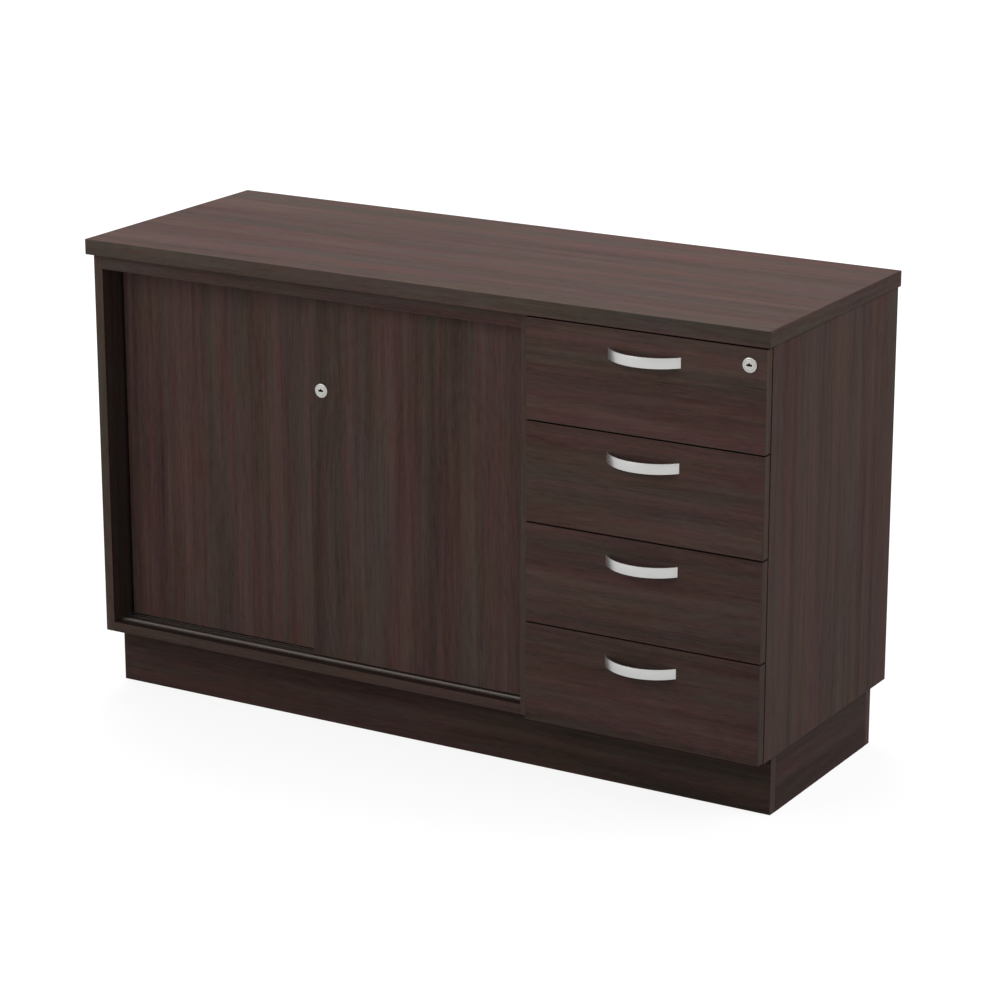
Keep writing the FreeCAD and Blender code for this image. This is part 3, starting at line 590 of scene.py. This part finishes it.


# ---------------------------------------------------------------- drawer fronts
# Four alike 16 mm boards with the grain across, edged all round; the top one is bored for its lock.
# Each is screwed to its box from inside. Their top and bottom edges are painted dark and reddish: painted
# shade that deepens the gaps between the fronts.
drawer_lock = axis_of("drawer_lock_housing")
# The fronts differ in print and tone; their lightness, 1.09 on the top front down to 0.96 on the bottom one,
# is painted light, darker towards the bottom.
front_prints_and_light = (dict(shift=(0.1, 0.3, 0.02), redness=0.03, lightness=1.09),
                dict(shift=(0.83, 0.55, 0.31), redness=0.02),
                dict(shift=(1.47, 0.8, 0.64), redness=0.04),
                dict(shift=(2.1, 0.25, 0.97), redness=0.05, lightness=0.96))
painted_gap_shade = walnut("walnut edging, painted gap shade", "X", (0.71, 0.37, 0.13), redness=0.6, lightness=0.3)
least_tilt = 0.2
for number, print_and_light_of_front in enumerate(front_prints_and_light, start=1):
    node = f"drawer_{number}_front"
    face = walnut("walnut " + node.replace("_", " "), "X", **print_and_light_of_front)
    front = board(node + "_board", node, f"drawer_{number}", all_round, face, arris=0.0003)
    # Faces that tilt up or down more than least_tilt take the painted shade of the gaps.
    front.data.materials.append(painted_gap_shade)
    for polygon in front.data.polygons:
        if abs(polygon.normal.z) > least_tilt:
            polygon.material_index = front.data.materials.find(painted_gap_shade.name)
    if number == 1:
        drill(front, node, *drawer_lock, lock_bore)


# ---------------------------------------------------------------- drawer boxes and runners
# Foil-wrapped 12 mm sides and backs round a thin hardboard base, on pressed steel runners with a grey coat.
def dyed_board(name, colour, rough, along, across):
    """Foil or pressed fibre: soft flecks with these cycles per metre along Y and across it."""
    material, tree, shader, place = new_material(name)
    drawn = add(tree, "Mapping", {"Vector": place, "Scale": (across, along, across)}).outputs[0]
    fleck = plain_noise(tree, drawn, 1.0, detail=4.0)
    cloud = plain_noise(tree, place, 9.0)
    tint = scaled(tree, colour, around(tree, 1.0, (cloud, 0.2), (fleck, 0.7)))
    wire(tree, shader, tint, around(tree, rough, (fleck, 0.2)), fleck, strength=0.2, distance=0.0002)
    shader.inputs["Specular IOR Level"].default_value = 0.25
    return material


box_foil = dyed_board("foil-wrapped drawer board", (0.050, 0.031, 0.025), rough=0.5, along=6.0, across=260.0)
hardboard = dyed_board("hardboard", (0.16, 0.085, 0.045), rough=0.6, along=320.0, across=420.0)
runner_coat = plastic("zinc-grey coated steel", (0.34, 0.35, 0.36), rough=0.4, grain=500.0)
runner_coat.node_tree.nodes["Principled BSDF"].inputs["Metallic"].default_value = 0.6
paint(runner_coat, "drawer_runners")
for number in range(1, 5):
    paint(box_foil, f"drawer_{number}_box")
    paint(hardboard, f"drawer_{number}_base")
    paint(runner_coat, f"drawer_{number}_slides")


# ---------------------------------------------------------------- handles
# A flat strap of satin metal bent to an arc across each front, brushed along its length.
# Two short posts behind it take the screws that come through from inside the drawer.
handle_metal = metal("satin handle metal", (0.50, 0.497, 0.492), rough=0.34,
                     lines=(14.0, 14.0, 1700.0), amount=0.8)
strap_thickness, strap_height, chord, rise = 0.003, 0.016, 0.119, 0.028
arc_radius = (chord * chord / 4 + rise * rise) / (2 * rise)
middle_radius = arc_radius - strap_thickness / 2
extra_turn = 0.04
half_turn = math.asin(chord / 2 / arc_radius) + extra_turn
post_radius, post_spacing, post_overlap = 0.0045, 0.096, 0.005
slope = math.asin(post_spacing / 2 / middle_radius)
edge_rounding = 0.0005


def arched_strap(name, x, z, arc_y, front_y):
    """The strap: its rounded section spun a little past the arc and trimmed flat at the drawer front."""
    bpy.ops.object.select_all(action="DESELECT")
    start = (x - middle_radius * math.sin(half_turn), arc_y - middle_radius * math.cos(half_turn), z)
    bpy.ops.mesh.primitive_plane_add(size=1, location=start, rotation=(0, math.pi / 2, -half_turn))
    strap = bpy.context.object
    strap.name = name
    strap.scale = (strap_height, strap_thickness, 1)
    bpy.ops.object.transform_apply(location=True, rotation=True, scale=True)
    pick_up(strap)
    bpy.ops.mesh.select_all(action="SELECT")
    bpy.ops.mesh.bevel(offset=edge_rounding, segments=3, affect="VERTICES")
    bpy.ops.mesh.spin(steps=72, angle=-2 * half_turn, center=(x, arc_y, z), axis=(0, 0, 1))
    bpy.ops.mesh.select_all(action="SELECT")
    bpy.ops.mesh.remove_doubles(threshold=0.00001)
    bpy.ops.mesh.normals_make_consistent(inside=False)
    bpy.ops.mesh.select_all(action="SELECT")
    bpy.ops.mesh.bisect(plane_co=(x, front_y, z), plane_no=(0, 1, 0), clear_outer=True, use_fill=True)
    put_down(strap)
    return strap


def handle_post(x, z, side, arc_y, front_y):
    """One post, rounded at its foot and cut on the slant in the middle of the strap's thickness."""
    post_x = x + side * post_spacing / 2
    seat_y = arc_y - middle_radius * math.cos(slope)
    post = rod("post", post_x, z, post_radius, seat_y - post_overlap, front_y, sides=40)
    round_end(post, front_y, edge_rounding)
    pick_up(post)
    bpy.ops.mesh.select_all(action="SELECT")
    outward = (side * math.sin(slope), -math.cos(slope), 0)
    bpy.ops.mesh.bisect(plane_co=(post_x, seat_y, z), plane_no=outward, clear_outer=True, use_fill=True)
    put_down(post)
    return post


for number in range(1, 5):
    low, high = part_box(f"drawer_{number}_handle")
    front_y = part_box(f"drawer_{number}_front")[0].y
    x, z = (low.x + high.x) / 2, (low.z + high.z) / 2
    arc_y = low.y + arc_radius
    handle = arched_strap(f"drawer_{number}_arched_handle", x, z, arc_y, front_y)
    posts = [handle_post(x, z, side, arc_y, front_y) for side in (-1, 1)]
    for part in (handle, *posts):
        part.select_set(True)
    bpy.context.view_layer.objects.active = handle
    bpy.ops.object.join()
    smooth(handle, degrees=30)
    fitting(handle, f"drawer_{number}_handle", f"drawer_{number}", handle_metal)


# ---------------------------------------------------------------- central drawer lock
# The same turned nickel lock at the top drawer's right end; behind the front its plug carries a crank.
# The crank's pin lifts a flat steel bar in the right side, and the bar's four pins then hold the drawers.
drawer_body_length, stem_radius = 0.036, 0.005
plate_radius, plate_thickness, plate_gap = 0.0095, 0.003, 0.0001
crank_radius, pin_radius, pin_length = 0.007, 0.002, 0.0085
pin_root, pin_rounding = 0.0005, 0.0004


def grow_crank(plug, x, z, plug_back, plate_front):
    """Draw a stem out of the head's back and widen it to the crank's plate behind the body."""
    touch = 0.0001
    widening = plate_radius / stem_radius
    pick_up(plug)
    pick(plug, "FACE", lambda corners: all(corner.y > plug_back - touch for corner in corners))
    bpy.ops.mesh.inset(thickness=head_radius - stem_radius)
    bpy.ops.mesh.extrude_region_move(TRANSFORM_OT_translate={"value": (0, plate_front - plug_back, 0)})
    bpy.ops.mesh.extrude_region_move(TRANSFORM_OT_translate={"value": (0, 0, 0)})
    bpy.ops.transform.resize(value=(widening, 1, widening), center_override=(x, plate_front, z))
    bpy.ops.mesh.extrude_region_move(TRANSFORM_OT_translate={"value": (0, plate_thickness, 0)})
    put_down(plug)


front_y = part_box("drawer_1_front")[0].y
drawer_nickel = nickel_finish("satin nickel, drawer lock", *drawer_lock)
stem_bore = stem_radius + head_clearance
housing = lock_housing("drawer_lock_bezel", *drawer_lock, front_y, drawer_body_length, stem_bore)
fitting(housing, "drawer_lock_housing", "drawer_1", drawer_nickel)
plug = lock_plug("drawer_lock_key_plug", *drawer_lock, front_y)
plate_front = front_y + drawer_body_length + plate_gap
grow_crank(plug, *drawer_lock, front_y - bezel_depth + head_depth, plate_front)
x, z = drawer_lock
crank_arm = crank_radius * math.sqrt(0.5)
pin_front = plate_front + plate_thickness - pin_root
pin = rod("crank pin", x + crank_arm, z - crank_arm, pin_radius, pin_front, pin_front + pin_length, sides=32)
round_end(pin, pin_front + pin_length, pin_rounding, steps=2)
pin.select_set(True)
plug.select_set(True)
bpy.context.view_layer.objects.active = plug
bpy.ops.object.join()
smooth(plug)
fitting(plug, "drawer_lock_plug", "drawer_lock_plug", drawer_nickel)
paint_keyway_dark_and_shade(plug, *drawer_lock, front_y)
paint(drawer_nickel, "drawer_lock_nut")


# ---------------------------------------------------------------- fasteners
# Zinc-plated screws, bolts, pins and the lock bar, and die-cast cams, all with a dull plated look.
bright_steel = metal("zinc-plated steel", (0.55, 0.56, 0.57), rough=0.36, lines=(700.0,) * 3, amount=0.8)
cast_zinc = metal("die-cast zinc", (0.46, 0.46, 0.47), rough=0.5, lines=(240.0,) * 3, amount=1.0)
paint(cast_zinc, "carcass_cams")
paint(bright_steel, "worktop_screws", "shelf_pins", "module_bolts", "carcass_cam_bolts", "drawer_lock_bar")
for number in range(1, 5):
    paint(bright_steel, f"drawer_{number}_handle_screws")


# ---------------------------------------------------------------- room
# A plain pale floor that keeps a faint shadow, and a surround that looks white but lights less than that.
# Three softboxes and a low one in front light the piece; the low one leaves no highlight.
floor_size = 30
pool_radius, pool_end, pool_glow = 0.8, 2.6, 0.87
seen_floor, lighting_floor = (0.17, 0.17, 0.17, 1), (0.30, 0.30, 0.30, 1)
surround_seen, surround_light = 1.0, 0.30
white = (1, 1, 1, 1)


def seen_rays(tree):
    """1 on rays that the eye or gloss sends out, 0 on those that gather light."""
    ray = add(tree, "LightPath").outputs
    mirrored = maths(tree, "MAXIMUM", ray["Is Glossy Ray"], ray["Is Transmission Ray"])
    return maths(tree, "MAXIMUM", ray["Is Camera Ray"], mirrored)


bpy.ops.object.select_all(action="DESELECT")
bpy.ops.mesh.primitive_grid_add(x_subdivisions=8, y_subdivisions=8, size=floor_size, location=(0, 0, 0))
floor = bpy.context.object
floor.name = "floor"
bpy.ops.object.transform_apply(location=True, rotation=True, scale=True)
floor_paint = bpy.data.materials.new("pale floor")
floor_paint.use_nodes = True
tree = floor_paint.node_tree
tree.nodes.clear()
place = add(tree, "TexCoord").outputs["Object"]
reach = add(tree, "VectorMath", {0: place}, operation="LENGTH").outputs["Value"]
pool = {"Value": reach, "From Min": pool_radius, "From Max": pool_end, "To Min": pool_glow, "To Max": 1.0}
glow = add(tree, "Emission", {"Color": white, "Strength": add(tree, "MapRange", pool).outputs[0]})
faint = add(tree, "BsdfDiffuse", {"Color": seen_floor})
bright = add(tree, "AddShader", {0: glow.outputs[0], 1: faint.outputs[0]})
lit = add(tree, "BsdfDiffuse", {"Color": lighting_floor})
mixed = add(tree, "MixShader", {0: seen_rays(tree), 1: lit.outputs[0], 2: bright.outputs[0]})
output = tree.nodes.new("ShaderNodeOutputMaterial")
tree.links.new(mixed.outputs[0], output.inputs["Surface"])
floor.data.materials.append(floor_paint)

world = bpy.data.worlds.new("white surround")
bpy.context.scene.world = world
world.use_nodes = True
tree = world.node_tree
tree.nodes.clear()
strength = weighed(tree, surround_light, (seen_rays(tree), surround_seen - surround_light))
surround = add(tree, "Background", {"Color": white, "Strength": strength})
output = tree.nodes.new("ShaderNodeOutputWorld")
tree.links.new(surround.outputs[0], output.inputs["Surface"])


def softbox(name, place, size, power):
    """A square diffused lamp turned to the middle of the piece."""
    middle = Vector((0, 0, 0.4))
    lamp = bpy.data.lights.new(name, "AREA")
    lamp.shape = "SQUARE"
    lamp.size = size
    lamp.energy = power
    holder = bpy.data.objects.new(name, lamp)
    bpy.context.scene.collection.objects.link(holder)
    holder.location = place
    holder.rotation_euler = (middle - Vector(place)).to_track_quat("-Z", "Y").to_euler()
    return holder


softbox("front left softbox", (-2.165, -3.75, 2.90), size=3.0, power=78)
low_front = softbox("low front softbox", (-1.04, -4.88, 0.50), size=2.2, power=62)
low_front.visible_glossy = False
softbox("right softbox", (3.70, 0.99, 3.61), size=3.0, power=131)
softbox("high softbox, behind", (-1.61, 1.92, 4.73), size=3.0, power=196)

tilt_down, turn_left = 16.76, 30.54
lens = bpy.data.cameras.new("camera")
lens.lens = 120.79
lens.sensor_width = 36.0
lens.clip_end = 60.0
camera = bpy.data.objects.new("camera", lens)
bpy.context.scene.collection.objects.link(camera)
camera.location = (2.60065, -4.3485, 1.8816)
camera.rotation_euler = (math.radians(90 - tilt_down), 0, math.radians(turn_left))
bpy.context.scene.camera = camera
bpy.context.scene.view_settings.view_transform = "Standard"

bpy.context.view_layer.update()
